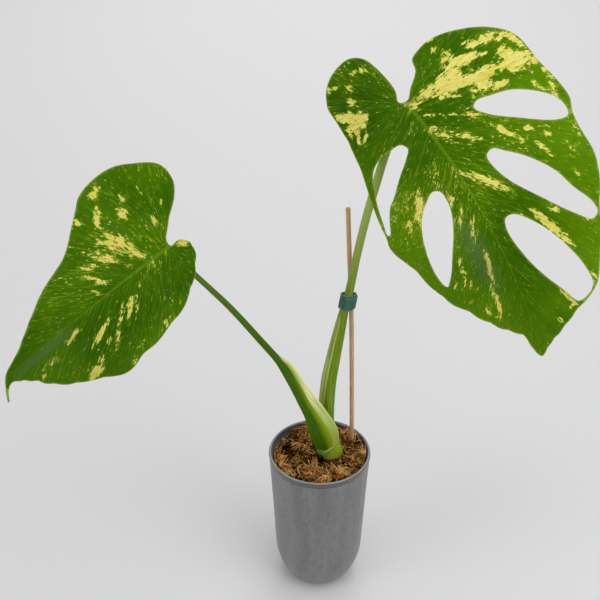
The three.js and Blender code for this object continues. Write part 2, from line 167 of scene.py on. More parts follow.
def stretch(place, scale):
    return place.finish.node("Mapping", {}, {"Vector": place, "Scale": scale})


def grain(place, scale, detail=2.0, rough=0.5):
    sockets = {"Vector": place, "Scale": scale, "Detail": detail, "Roughness": rough}
    return place.finish.node("TexNoise", {"noise_dimensions": "3D"}, sockets)


def between(value, low, high, bottom=0.0, top=1.0):
    """Turns low..high into bottom..top, with soft ends and nothing beyond."""
    settings = {"interpolation_type": "SMOOTHSTEP", "clamp": True}
    sockets = dict(enumerate([value, low, high, bottom, top]))
    return value.finish.node("MapRange", settings, sockets)


def coats(first, *layers):
    """A first colour and, over it, layers of (share, colour). Colours are wires or 0 to 255."""
    for share, over in layers:
        pair = [c if isinstance(c, Wire) else colour(*c) for c in (first, over)]
        sockets = {0: share, 6: pair[0], 7: pair[1]}
        first = share.finish.node("Mix", {"data_type": "RGBA"}, sockets, out=2)
    return first


def relief(height, distance, strength):
    sockets = {"Height": height, "Distance": distance * MM, "Strength": strength}
    return height.finish.node("Bump", {}, sockets)


print("made the node shortcuts")

# %% Lay the floor and hang the lights
FLOOR_REACH = 6
SKY_STRENGTH = 0.38

paper = Finish("paper", Base_Color=colour(236, 236, 237), Roughness=0.9)
floor_mesh = bmesh.new()
bmesh.ops.create_grid(floor_mesh, x_segments=2, y_segments=2, size=FLOOR_REACH)
floor_data = bpy.data.meshes.new("floor")
floor_mesh.to_mesh(floor_data)
floor_data.materials.append(paper.material)
show("floor", floor_data)

world = bpy.data.worlds.new("tent")
world.use_nodes = True
sky = world.node_tree.nodes["Background"].inputs
sky["Color"].default_value = (1, 1, 1, 1)
sky["Strength"].default_value = SKY_STRENGTH
bpy.context.scene.world = world
bpy.context.scene.view_settings.view_transform = "Standard"


def lamp(name, place, aim, size, watts, spread=pi):
    """A square lamp. Places and sizes are in metres, and spread is its beam's full angle."""
    data = bpy.data.lights.new(name, "AREA")
    data.size = size
    data.energy = watts
    data.spread = spread
    lit = show(name, data)
    lit.location = place
    lit.rotation_mode = "QUATERNION"
    lit.rotation_quaternion = (Vector(aim) - Vector(place)).to_track_quat("-Z", "Y")


lamp("key", (0.5, -0.5, 2.3), (0, -0.1, 0), size=1.8, watts=15.5)
lamp("left fill", (-1.8, -1.0, 0.85), (0, 0, 0.1), size=1.2, watts=3, spread=1.8)
lamp("right fill", (1.3, -1.1, 0.9), (0.2, 0, 0), size=1.2, watts=2.5, spread=1.8)
lamp("far", (0.2, 3.0, 2.4), (0, 1.9, 0), size=2.6, watts=11, spread=1.2)
print("floor and lights are in place")

# %% [markdown]
# ## From a list of points to a smooth curve
# Leaf edges and stalks are both drawn as a few listed points with a curve through
# them. This is the curve: a Catmull-Rom spline, which passes through every point. Its
# knots are spaced by the root of the distance, so it doesn't loop where points are close.

# %% The curve helper
def clamp(value):
    return min(1, max(0, value))


def knot_curve(points, t, closed):
    """The place at share t of a curve through points of any number of coordinates."""
    if closed:
        padded = [points[-1], *points, *points[:2]]
    else:
        ends = points[:2], points[:-3:-1]
        before, after = [[2 * a - b for a, b in zip(*pair)] for pair in ends]
        padded = [before, *points, after]
    spans = len(padded) - 3
    index = min(int(t * spans), spans - 1)
    share = t * spans - index
    four = padded[index:index + 4]
    steps = [max(dist(four[i][:3], four[i + 1][:3]) ** 0.5, 1e-4) for i in range(3)]
    place = []
    for a, b, c, d in zip(*four):
        leave = (b - a) / steps[0] - (c - a) / (steps[0] + steps[1]) + (c - b) / steps[1]
        arrive = (c - b) / steps[1] - (d - b) / (steps[1] + steps[2]) + (d - c) / steps[2]
        leave, arrive = leave * steps[1], arrive * steps[1]
        cubic = 2 * b - 2 * c + leave + arrive
        square = 3 * c - 3 * b - 2 * leave - arrive
        place.append(((cubic * share + square) * share + leave) * share + b)
    return place


def smooth_points(points, count, closed=False):
    last = count if closed else count - 1
    return [knot_curve(points, i / last, closed) for i in range(count)]


square_corners = [(0, 0), (1, 0), (1, 1), (0, 1)]
print("on a curve round a square:", [round(c, 2) for c in knot_curve(square_corners, 0.4, True)])

# %% [markdown]
# ## Finishing a piece
# Every piece goes through the same last steps: its mesh is stored, shaded smooth, given its
# material and hung under the root's empty, and the imported nodes that it replaces are hidden.

# %% The piece helper
def only(kind, grown):
    """The points, edges or faces among what an operator made."""
    return [part for part in grown["geom"] if isinstance(part, kind)]


def face_out(mesh):
    bmesh.ops.recalc_face_normals(mesh, faces=mesh.faces)


def piece(name, mesh, material, slot, *nodes):
    data = bpy.data.meshes.new(name)
    mesh.normal_update()
    mesh.to_mesh(data)
    mesh.free()
    data.shade_smooth()
    data.materials.append(material)
    made = show(name, data)
    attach(made, "root")
    if nodes:
        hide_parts(*nodes)
    print(f"{name}: {len(data.vertices)} points, {len(data.polygons)} faces")


print("piece helper is ready")

# %% [markdown]
# ## The two leaves, measured flat
# A monstera leaf is easiest to describe flat, like a pressed one: how far along the midrib
# and how far to the side, from the notch where the stalk comes in. The outline and the
# holes are a few points each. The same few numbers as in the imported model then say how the
# leaf droops, folds and waves in space.

# %% Leaf shapes
left_leaf = {
    "origin": (-119, -28, 371.7),
    "along": (-0.6451, -0.7434, -0.1767),
    "across": (-0.3634, 0.0951, 0.9268),
    "up": (0.6721, -0.6621, 0.3315),
    "length": 160,
    "droop": 0.003,
    "lobe_droop": 0.003,
    "swing": -0.00188,
    "fold": (-0.1, -0.1),
    "curl": (0.003, 0.0035),
    "wave": (2.5, 75, 80, (0.5, 2.5)),
    "vein_step": 20.5,
    "outline": [
        (-2, 0), (-1, 6), (-10, 16), (-27, 31), (-33, 41), (-33, 51), (-29, 58), (-13, 68),
        (8, 76), (23, 76), (38, 71), (47, 63), (72, 43), (97, 34), (119, 22), (140, 10),
        (158, 2), (166, -7), (173, -17.5), (172.3, -18), (165.3, -9.5), (158, -6.5), (152, -12),
        (146, -19), (142, -27), (129, -43), (116, -53), (97, -66), (85, -71), (73, -70),
        (62, -66), (46, -66), (29, -63), (12, -57), (-4, -45), (-16, -32), (-22, -17),
        (-20, -7), (-11, 0),
    ],
    "holes": [],
}
right_leaf = {
    "origin": (61.4, -12, 482.2),
    "along": (0.6194, -0.5245, -0.5841),
    "across": (0.7339, 0.1226, 0.6681),
    "up": (-0.2788, -0.8425, 0.4609),
    "length": 225,
    "droop": 0.0025,
    "lobe_droop": 0.0005,
    "swing": -0.00216,
    "fold": (-0.1, -0.2),
    "curl": (0.003, 0.005),
    "wave": (3, 90, 95, (0, 2)),
    "vein_step": 25.5,
    "outline": [
        (-3, 2), (-8, 9), (-15, 20), (-23, 24), (-25, 31), (-25, 44), (-17, 66), (-6, 82),
        (8, 93), (30, 95), (50, 98), (61, 98), (70, 94), (80, 93), (98, 93), (116, 87),
        (131, 79), (141, 75), (153, 70), (167, 63), (183, 54), (189, 45), (194, 36),
        (207, 19), (216, 8), (225, 0), (222, -3), (215, -6), (204, -9), (194, -25),
        (183, -38), (172, -49), (162, -60), (146, -69), (130, -75), (110, -81), (100, -85),
        (90, -87), (80, -85), (60, -81), (27, -72), (10, -64), (-12, -58), (-31, -53),
        (-50, -49), (-58, -39), (-61, -25), (-58, -9), (-49, -1), (-38, 1), (-15, 0), (-6, -4),
    ],
    "holes": [
        [(37, 68), (31, 52), (28, 40), (31, 36), (40, 42), (54, 59), (68, 80), (70, 90),
         (65, 92), (55, 89)],
        [(126, 75), (111, 67), (96, 61), (78, 48), (67, 37), (61, 30), (63, 24), (82, 27),
         (111, 46), (129, 61), (137, 70), (134, 75.5)],
        [(181, 52.5), (165, 51), (147, 45), (132, 38), (118, 29), (108, 19), (108, 13),
         (117, 10), (141, 14), (161, 22), (178, 32), (188, 38), (186.5, 46)],
        [(64, -25), (69, -34), (77, -43), (90, -51), (111, -58), (138, -59), (147, -56),
         (140, -50), (119, -38), (94, -24), (79, -19), (67, -20)],
        [(19, -24), (17, -33), (16, -46), (21, -58), (32, -66), (47, -73), (66, -79),
         (78, -82), (79, -80), (68, -73), (56, -64), (50, -55), (40, -42), (31, -28),
         (25, -21)],
    ],
}
print("outline points:", len(left_leaf["outline"]), "and", len(right_leaf["outline"]))

# %% Where a flat point lies in space
CREASE = 6


def leaf_place(leaf, along, aside):
    """The point of the bent leaf for a point of the flat one, in millimetres."""
    side, half = (1, 0) if aside >= 0 else (-1, 1)
    out = abs(aside)
    droop = leaf["droop"] if along >= 0 else leaf["lobe_droop"]
    swing = leaf["swing"]
    T, B, N = Vector(leaf["along"]), Vector(leaf["across"]), Vector(leaf["up"])

    def sine(rate):
        return sin(rate * along) / rate

    def rise(rate):
        return (1 - cos(rate * along)) / rate

    midrib = Vector(leaf["origin"])
    midrib += T * (sine(droop + swing) + sine(droop - swing)) / 2
    midrib += B * (rise(swing + droop) + rise(swing - droop)) / 2 - N * rise(droop)
    turn = swing * along
    ahead = T * cos(turn) + B * sin(turn)
    sideways = B * cos(turn) - T * sin(turn)
    lift = N * cos(droop * along) + ahead * sin(droop * along)
    slope, curl = leaf["fold"][half], leaf["curl"][half]
    spread = (sin(slope) - sin(slope - curl * out)) / curl
    drop = (cos(slope - curl * out) - cos(slope)) / curl
    rounding = sin(slope) * (out - hypot(out, CREASE) + CREASE)
    height, reach, length, phase = leaf["wave"]
    wave = height * (out / reach) ** 2 * sin(2 * pi * along / length + phase[half])
    return midrib + sideways * (side * spread) + lift * (drop - rounding + wave)


print("left tip at", [round(c) for c in leaf_place(left_leaf, 173, -17)], "mm")

# %% [markdown]
# ## Veins
# Side veins leave the midrib in pairs and sweep towards the tip, and behind the notch they
# fan out into the lobes. Every mark on this leaf follows them: the blotches are streaked
# along the veins. So each point of the leaf gets a vein number, which is where its vein
# leaves the midrib, and a reach, which is how far out it lies. Patterns drawn in those two
# numbers follow the veins by themselves.

# %% Vein number and reach
VEIN_LEAN = 0.35
VEIN_SPREAD = 2.7
FAN = 43


def vein_of(leaf, along, aside):
    out = abs(aside)
    start = (along - VEIN_LEAN * out) / (1 + VEIN_SPREAD / leaf["length"] * out)
    if start >= 0:
        return start, hypot(along - start, out)
    turned = atan2(out, along) - atan2(1, VEIN_LEAN)
    return -turned * FAN, hypot(along, out)


print("vein at (60, 30):", [round(v, 1) for v in vein_of(right_leaf, 60, 30)])

# %% [markdown]
# ## Cream patches
# The cream marbling is given patch by patch: each patch is an ellipse on the flat leaf, with
# its middle, half length, half width and turn, listed under its strength. A patch only
# makes cream likely. The material decides the ragged edge with a streaky noise.

# %% Patches on the left and right leaf
left_leaf["patches"] = {
    1: [(26, 68, 6, 4, -40), (54, -21, 10, 2.5, -52), (85, -23, 13, 2.5, -26),
        (107, -50, 9, 5, -5)],
    0.9: [(19, 42, 6, 5, 80), (49, 57, 5, 3, 60), (0, 24, 5, 3, 90), (67, -27, 19, 2, -48),
        (101, -9, 8, 2, -17), (-14, -4, 7, 3, 15)],
    0.85: [(27, 13, 10, 3, 52), (37, 50, 8, 3, -60)],
    0.8: [(65, 16, 9, 2.5, 55), (129, -15, 8, 2, -5)],
    0.72: [(37, 27, 16, 8, 50), (48, 26, 12, 6, 50)],
    0.7: [(12, 51, 4, 3, 60), (-13, 33, 3, 1.5, 110), (63, 25, 9, 3, 30), (37, 7, 5, 2, 40),
        (97, -44, 6, 3, -60), (82, -33, 4, 2.5, -35), (61, -47, 4, 1.5, -55),
        (73, -67, 4, 2.5, 0), (-9, -31, 4, 1.5, -50), (139, -20, 3, 2, -30)],
    0.6: [(83, 26, 3, 2, 60), (69, 7, 6, 2, 60), (31, -56, 6, 4, -20), (8, -47, 5, 2, -30),
        (20, -30, 6, 1.5, -68)],
    0.5: [(-24, 51, 4, 2, 140)],
    0.4: [(-11, 47, 3, 2, 100), (25, -5, 9, 2.5, -35)],
    0.35: [(44, -18, 12, 3, -50)],
}
right_leaf["patches"] = {
    1.2: [(9, 34, 18, 4.8, 76), (24, 83, 13, 6, 69)],
    1.15: [(3, 26, 20, 4.5, 88)],
    1.1: [(1, 50, 16, 4, 76), (16, 56, 19, 4.6, 74), (-33, -46, 7.5, 3.6, 25),
        (-19, -34, 6, 4.5, 52), (-26, -41, 7, 5, 40), (126, 39, 16.6, 3.2, 24),
        (181, 32, 9.4, 2.1, 24)],
    1: [(-1, 75, 15, 3.6, 68), (-21, -42, 8.5, 5, -13), (115, 34, 5.6, 2, 24),
        (118, 47, 5, 1.9, 38), (134, -14, 11.5, 2, -10), (167, -20, 12.5, 2.2, -3)],
    0.95: [(14, 78, 6, 5, 60), (-12, -47, 8.5, 2.5, -26), (58, 46, 14, 1.8, 30),
        (77, 61, 6.6, 2.4, 15), (86, 64, 4.4, 1.5, 31), (105, 74, 4.4, 1.7, 13),
        (190, 33, 3.9, 1.8, 107)],
    0.9: [(24, 52, 14, 4, 69), (-5, 64, 4.6, 3, 90), (7, 89, 6, 2.7, 27),
        (63, 61, 4.3, 1.5, 50), (73, 70, 3.4, 2.2, 55), (-8, -41, 9, 1.9, -41),
        (-18, -51, 6.4, 2, -19), (-43, -24, 4.6, 2.7, 22), (-35, -31, 4.5, 2.2, 32),
        (-52, -33, 3.6, 2.2, 39), (-55, -39, 3.6, 2.4, -52), (71, 10, 10.4, 1.6, 42),
        (110, 25, 3.4, 1.7, 36), (76, -16, 5.4, 2.2, -22), (148, -16, 7, 1.4, 0),
        (183, -24, 4.4, 2.3, -28)],
    0.88: [(78, 15, 17.3, 2.9, 35)],
    0.85: [(41, 95, 5, 2.5, 20), (43, 83, 5, 2, 27), (48, 92, 5, 1.8, 13),
        (-43, -7, 3.4, 1.7, 24), (-48, -14, 3.3, 1.9, 35), (-9, 41, 2.3, 2.2, 69),
        (-12, 48, 2.5, 1.6, 70), (198, 21, 4.4, 2.2, 17), (68, -40, 12, 4, -30)],
    0.8: [(13, 26, 14, 1.8, 57), (-25, 43, 4.5, 1.6, 86), (56, 90, 4, 1.8, 13),
        (15, 91, 4, 2.4, 42), (51, 49, 3, 2.2, 80), (79, -46, 11, 1.8, -26),
        (94, -17, 8.3, 1.4, -34), (64, 3, 11.3, 1.8, 31), (33, 8, 7.7, 1.8, 32),
        (34, 32, 4.9, 1.6, 50), (2, 1, 8, 2.5, 25), (145, 48, 8, 2.4, 5), (178, 54, 8, 2.5, -8),
        (80, -58, 8, 3, -20), (90, -15, 8.2, 1.4, -35), (132, -36, 9, 2.4, -16),
        (176, -30, 6.4, 1.3, -3)],
    0.75: [(-10, 46, 5, 4, 60), (19, 12, 16, 1.2, 53), (33, 6, 12, 3.5, 30)],
    0.7: [(-18, 40, 3, 2.5, 110)],
    0.6: [(42, 18, 14, 4, 38), (57, -47, 6, 3, -45), (105, -12, 14, 2, -22)],
    0.5: [(90, 78, 8, 3, 20), (50, -14, 12, 4, -22)],
    0.4: [(30, 36, 12, 6, 50)],
    0.35: [(160, 30, 20, 6, 20)],
    0.3: [(100, -36, 14, 6, -20), (150, -40, 16, 8, -10)],
}


def cream_at(leaf, along, aside):
    """How likely cream is at a flat point, from 0 to about 1.5."""
    most = 0
    for weight, patches in leaf["patches"].items():
        for middle, side, length, width, turn in patches:
            cosine, sine = cos(radians(turn)), sin(radians(turn))
            ahead = ((along - middle) * cosine + (aside - side) * sine) / length
            beside = ((aside - side) * cosine - (along - middle) * sine) / width
            most = max(most, weight * (1.25 - 0.6 * (ahead * ahead + beside * beside)))
    return max(0, most)


print("cream at the left leaf's largest patch:", cream_at(left_leaf, 37, 30))

# %% [markdown]
# ## Making a blade
# No single operator fills an outline with holes evenly, so the blade starts from points:
# rows of them inside, closer together at the midrib, and the smooth edges of the outline
# and the holes. Blender's own Delaunay fill joins them into even triangles and leaves the
# holes open. Then the sheet is bent into place, doubled and closed with a rim.

# %% Fill the flat outline
ROWS = range(-34, 120)
EDGE_STEP = 1.7
CLEAR_OF_EDGE = 1.1
ROW_STEP = 2.0
FINE_STEP, COARSE_STEP = 1.15, 2.3
FINE_REACH = 7


def crossings(loops, along):
    """Where the outline and the holes cross the line at one distance along the midrib."""
    places = []
    for loop in loops:
        for (x1, y1), (x2, y2) in zip(loop, loop[1:] + loop[:1]):
            if (x1 > along) != (x2 > along):
                places.append(y1 + (along - x1) / (x2 - x1) * (y2 - y1))
    return places


def within(places, aside):
    """Whether a point lies inside, from the crossings on its line."""
    return sum(place < aside for place in places) % 2


def inner_points(loops):
    """Staggered rows of points inside the leaf, closer together beside the midrib."""
    points = []
    for row in ROWS:
        places = crossings(loops, row * ROW_STEP)
        steps = [i + 0.5 * (row % 2) for i in range(-6, 40)]
        beside = [i * FINE_STEP for i in steps[:12]]
        beyond = [side * (FINE_REACH + i * COARSE_STEP) for i in steps[6:] for side in (-1, 1)]
        points += [[row * ROW_STEP, a] for a in beside + beyond if within(places, a)]
    return points


def flat_blade(leaf):
    loops, edge_points, edges = [], [], []
    for loop in [leaf["outline"], *leaf["holes"]]:
        length = sum(dist(a, b) for a, b in zip(loop, loop[1:] + loop[:1]))
        count = int(length / EDGE_STEP)
        first = len(edge_points)
        loops.append(smooth_points(loop, count, closed=True))
        edge_points += loops[-1]
        edges += [(first + i, first + (i + 1) % count) for i in range(count)]
    near = KDTree(len(edge_points))
    for i, (x, y) in enumerate(edge_points):
        near.insert((x, y, 0), i)
    near.balance()
    inside = [p for p in inner_points(loops) if near.find((*p, 0))[2] > CLEAR_OF_EDGE]
    flat = [Vector(p) for p in edge_points + inside]
    places, _, triangles, *_ = delaunay_2d_cdt(flat, edges, [], 0, 1e-5, False)
    mesh = bmesh.new()
    corners = [mesh.verts.new((p.x, p.y, 0)) for p in places]
    for triangle in triangles:
        if max(triangle) < len(edge_points):
            along, aside = [sum(places[i][axis] for i in triangle) / 3 for axis in (0, 1)]
            if not within(crossings(loops, along), aside):
                continue
        mesh.faces.new([corners[i] for i in triangle])
    bmesh.ops.delete(mesh, geom=[v for v in mesh.verts if not v.link_faces], context="VERTS")
    inner = [v for v in mesh.verts if not v.is_boundary]
    bmesh.ops.smooth_vert(mesh, verts=inner, factor=0.5, use_axis_x=True, use_axis_y=True)
    return mesh


print("outline filler is ready")

# %% Bend it and give it thickness
THICKNESS = 0.8
THINNER_MARGIN = 0.45
GROOVE_WIDTH, RIDGE_WIDTH = 3.4, 1.1
QUILT_REACH = 25
RIB_WIDTH, RIB_DEPTH, RIB_START = 2.2, 2.8, 9
SHARP_ANGLE = 0.9


def bell(distance, width):
    return exp(-((distance / width) ** 2))


def tip_fade(leaf, along, behind):
    """From 1 at the notch to 0 at the tip, and a value of its own behind the notch."""
    return max(0, 1 - along / leaf["length"]) ** 0.7 if along > 0 else behind


def upper_relief(leaf, along, aside, number, reach):
    """Height of the upper face: a groove with a rib in it, and quilting between veins."""
    rib = 0.9 * bell(aside, RIDGE_WIDTH) - 0.9 * bell(aside, GROOVE_WIDTH)
    rib *= clamp((along + 2) / 6) * (0.35 + 0.65 * tip_fade(leaf, along, 1))
    off = (number / leaf["vein_step"] + 0.5) % 1 - 0.5
    out = min(1, reach / QUILT_REACH)
    return rib - 0.7 * out * bell(off, 0.1) + 0.5 * out * cos(2 * pi * off + pi)


def bend_blade(mesh, leaf):
    layers = mesh.verts.layers.float
    number, reach, cream, along_mm, aside_mm, margin = [
        layers.new(name) for name in ("vein", "reach", "cream", "along", "aside", "margin")
    ]
    for v in mesh.verts:
        along, aside = v.co.x, v.co.y
        v[along_mm], v[aside_mm] = along, aside
        v[number], v[reach] = vein_of(leaf, along, aside)
        v[cream] = cream_at(leaf, along, aside)
        v[margin] = v.is_boundary
        v.co = leaf_place(leaf, along, aside) * MM
    face_out(mesh)
    if sum(face.normal.dot(Vector(leaf["up"])) for face in mesh.faces) < 0:
        bmesh.ops.reverse_faces(mesh, faces=mesh.faces)
    mesh.normal_update()


def thicken_blade(mesh, leaf):
    """Doubles the sheet, pushes the copy down and joins the two by a rim."""
    layers = mesh.verts.layers.float
    under_side = layers.new("under")
    along, aside, number, reach, margin = [
        layers[n] for n in ("along", "aside", "vein", "reach", "margin")
    ]

    def height_of(v):
        return upper_relief(leaf, v[along], v[aside], v[number], v[reach])

    ups = {v: v.normal.copy() for v in mesh.verts}
    up_at = {tuple(v.co): up for v, up in ups.items()}
    grown = bmesh.ops.extrude_face_region(mesh, geom=mesh.faces[:], use_keep_orig=True)
    for v in only(BMVert, grown):
        v[under_side] = 1
        fade = tip_fade(leaf, v[along], 0) * clamp((v[along] - RIB_START + 3) / 3)
        flesh = THICKNESS - THINNER_MARGIN * v[margin]
        depth = flesh + RIB_DEPTH * fade * bell(v[aside], RIB_WIDTH)
        v.co += up_at[tuple(v.co)] * (0.6 * height_of(v) - depth) * MM
    for v, up in ups.items():
        v.co += up * height_of(v) * MM
    face_out(mesh)
    for edge in mesh.edges:
        edge.smooth = edge.calc_face_angle(0) < SHARP_ANGLE


def blade(name, leaf, node, material):
    mesh = flat_blade(leaf)
    bend_blade(mesh, leaf)
    thicken_blade(mesh, leaf)
    piece(name, mesh, material, "leaf", node)


print("blade helpers are ready")

# %% [markdown]
# ## The leaf's finish
# The upper face is a satin mid green, yellower at the margin and deeper towards the tip,
# with a greyish sheen painted beside the midrib as a reflection, and a thin pale line painted
# along the edge as a highlight. Over it lie cream streaks with sharp, ragged edges, split by
# hair-thin green lines, and fine side veins show as faint lines. The noise is read in vein
# number and reach, so it stretches along the veins. A painted image could follow one leaf
# more closely, but would be blurred near by and fit no other leaf.

# %% Leaf material
RIPPLES_PER_VEIN = 7


def leaf_finish(name, shape, half_width, yellow, tip_yellow, lines, sheen_band, fresh):
    """yellow and tip_yellow tell how far the margin and the tip turn yellow, and lines how
    clear the veins are. The band of painted sheen, a greyish reflection beside the midrib, is
    given by its middle and half width and where it starts and stops along the midrib. fresh
    is the palest cream."""
    length, vein_step = shape["length"], shape["vein_step"]
    leaf = Finish(name, Specular_IOR_Level=0.03)
    number, reach, along, aside, cream, under, margin = [
        reading(leaf, n) for n in ("vein", "reach", "along", "aside", "cream", "under", "margin")
    ]
    side, out = aside.sum("SIGN"), aside.sum("ABSOLUTE")

    def on_veins(across, outwards, detail, rough):
        """A grain along the veins that differs between the halves of the leaf."""
        sockets = {0: number * across, 1: reach * outwards, 2: side * 7.3}
        return grain(leaf.node("CombineXYZ", {}, sockets), 1, detail, rough)

    place = place_on(leaf)
    streak = on_veins(0.26, 0.06, 4, 0.6)
    thread = on_veins(0.8, 0.15, 3, 0.6)
    fine = on_veins(0.9, 0.12, 3, 0.5)
    hair = on_veins(2.2, 0.11, 2, 0.5)
    speck = on_veins(0.8, 0.3, 2, 0.6)
    ragged = grain(place, 330, 3, 0.6)
    blotch = grain(place, 150, 3, 0.65)
    broad = grain(place, 14, 2, 0.5)

    calm = between(along, length * 0.9, length * 0.45, 0.35, 1)
    outer = between(out + along * tip_yellow + (broad - 0.5) * 60, half_width * 0.35, half_width)
    odds = streak * 0.5 + thread * 0.5 + ragged * 0.35 + blotch * 0.45 + cream * 0.25
    dashes = between(thread * 0.6 + fine * 0.5 + broad * 0.3 + cream * 0.08, 0.79, 0.83)
    specks = between(speck + streak * 0.3 + broad * 0.25 + cream * 0.1, 0.95, 0.99)
    patch = between(odds, 1.085, 1.11) * between(hair, 0.69, 0.62)
    patch = patch.sum("MAXIMUM", specks * calm * 0.7)
    green = coats(
        (50, 96, 0),
        (between(broad, 0.35, 0.65), (72, 118, 0)),
        (outer * yellow, (112, 158, 2)),
        (between(fine, 0.42, 0.68) * calm * 0.3, (108, 150, 0)),
        (between(thread, 0.46, 0.3) * calm * 0.3, (36, 84, 0)),
        (between(odds, 0.98, 1.08) * 0.45, (136, 172, 16)),
        (dashes * calm * 0.32, (168, 190, 40)),
    )
    pale = coats(
        fresh,
        (between(fine, 0.3, 0.7), (238, 224, 90)),
        (between(ragged, 0.5, 0.3) * 0.5, (196, 200, 60)),
    )

    off_vein = ((number / vein_step + 0.5).sum("FRACT") - 0.5).sum("ABSOLUTE")
    side_vein = between(off_vein, 0.05, 0.012) * between(reach, 80, 6, 0.1, 0.45)
    side_vein = side_vein * between(along, length, length * 0.4, 0.3, 1)
    off_middle = ((number / vein_step).sum("FRACT") - 0.5).sum("ABSOLUTE")
    small_vein = between(off_middle, 0.035, 0.01) * between(reach, 50, 8, 0, 0.2)
    veins = side_vein.sum("MAXIMUM", small_vein)
    # Painted sheen: a greyish reflection painted as a band beside the midrib.
    middle, wide, start, stop = sheen_band
    painted_sheen = between((aside - middle).sum("ABSOLUTE"), wide, 1) * between(along, start, start + 30)
    painted_sheen = painted_sheen * between(along, stop, stop - 25) * between(broad, 0.3, 0.5, 0.6, 1)
    taper = between(along, -4, length * 0.8, 1.9, 0.35)
    rib = between(out / taper, 1.0, 0.55) * between(along, -3, length * 0.9, 0.48, 0.2)
    face = coats(
        green,
        (patch, pale),
        (veins * lines, (118, 156, 34)),
        (painted_sheen * 0.4, (100, 126, 80)),
        (between(along, length * 0.45, length * 0.9) * (0.37 - 0.5 * yellow), (42, 84, 0)),
        (rib, (118, 156, 28)),
        # Painted highlight: a thin pale yellow line along the leaf's edge.
        (margin**2 * 0.6, (178, 198, 80)),
        (under * 0.7, (112, 148, 48)),
        (veins.sum("MAXIMUM", rib) * under, (164, 188, 96)),
    )
    ripple = (number * (2 * pi * RIPPLES_PER_VEIN / vein_step)).sum("SINE")
    return leaf.paint(
        Base_Color=face,
        Roughness=between(fine, 0.3, 0.7, 0.34, 0.44),
        Normal=relief(ripple * 0.3 + ragged * 0.2 + thread * 0.5, 0.16, 0.5),
    )


left_green = leaf_finish(
    "left leaf green", left_leaf, half_width=72, yellow=0.2, tip_yellow=0.06, lines=0.35,
    sheen_band=(-4, 6, 88, 166), fresh=(242, 230, 130),
)
right_green = leaf_finish(
    "right leaf green", right_leaf, half_width=95, yellow=0.55, tip_yellow=0.22, lines=0.5,
    sheen_band=(-18, 13, 85, 165), fresh=(255, 246, 144),
)
print("leaf finishes are ready")

# %% Make both blades
blade("left_blade", left_leaf, "blade_left", left_green)
blade("right_blade", right_leaf, "blade_right", right_green)

# %% [markdown]
# ## Stalks, stem and stake
# A stalk is one ring of points, pulled out again and again along a curve. Its stations give
# the place, the half width, the half depth and the width of the sheath's wing. A curve with
# a bevel would be quicker, but couldn't carry the wing. Each point remembers how far round
# the stalk it lies, so the finish can tell the sheath from the round green back.

# %% Stations of the limbs, in millimetres
stem_stations = [
    (13, 1.8, 130, 9, 6.5, 0), (12.2, 1.8, 138.5, 9.6, 7, 0),
    (10.4, 1.8, 144.8, 10.2, 7.4, 0), (6.6, 1.8, 150.2, 11.4, 7.6, 0),
]
left_stations = [
    (9.5, 0, 142, 8, 4.5, 0), (7, -0.8, 149, 9.9, 5, 0), (3.6, -2, 165, 12.3, 5.6, 0.4),
    (-6.8, -3.1, 188.6, 7.7, 5.3, 3.9), (-13.7, -2.5, 200.8, 5.8, 4.9, 4.9),
    (-19.2, -2, 212, 4.9, 4.6, 4.9), (-32.2, -0.6, 237.3, 3.6, 3.7, 3.9),
    (-37.2, -0.2, 245.5, 3.1, 3.4, 0.3), (-51.5, 0, 265.3, 2.9, 3.1, 0),
    (-75.9, 1, 297.4, 2.6, 2.7, 0), (-99.6, 2, 324, 2.4, 2.4, 0), (-113.4, -3, 343, 2.5, 2.5, 0),
]
right_stations = [
    (9, 8, 147, 5.2, 4.2, 0), (7, 9, 180, 6, 4.4, 1.6), (8.9, 11.5, 212, 5.5, 4.3, 3),
    (13, 14.8, 238, 4.9, 4.1, 2.9), (17.2, 18.4, 263, 4.3, 3.9, 1.8),
    (20.6, 21, 285, 3.8, 3.7, 0.3), (23.9, 21.3, 300, 3.6, 3.6, 0), (29.7, 19, 339, 3.4, 3.4, 0),
    (37, 15, 381, 3.4, 3.4, 0), (42, 11.5, 405, 3.4, 3.4, 0), (47.4, 6.3, 432, 3.4, 3.4, 0),
    (54, 0.5, 457, 3.3, 3.3, 0),
]
stake_stations = [
    (31.4, 19, 99, 2, 2, 0), (29.9, 21.5, 146.5, 2, 2, 0), (28.4, 24.4, 210, 2, 2, 0),
    (26.2, 27.2, 283, 2, 2, 0), (23.6, 28.8, 332, 2, 2, 0), (21.5, 30, 375.2, 2, 2, 0),
]
print("stake stations:", len(stake_stations))

# %% Seat a stalk under its blade
SEAT = 3.5
BEND_DEPTHS = (9.3, 4.3, 0.1)
BEND_SAG = 2.5


def seated(leaf, stations):
    """The stations with a short bend added, ending square under the blade."""
    seat = leaf_place(leaf, SEAT, 0)
    ahead = leaf_place(leaf, SEAT + 0.5, 0) - leaf_place(leaf, SEAT - 0.5, 0)
    beside = leaf_place(leaf, SEAT, 0.5) - leaf_place(leaf, SEAT, -0.5)
    up = ahead.cross(beside).normalized()
    up = up if up.dot(Vector(leaf["up"])) > 0 else -up
    width, depth = stations[-1][3:5]
    bend = [seat - up * (THICKNESS + under) for under in BEND_DEPTHS]
    bend[0].z -= BEND_SAG
    return stations + [(*place, width, depth, 0) for place in bend]


print("left stalk stations:", len(seated(left_leaf, left_stations)))

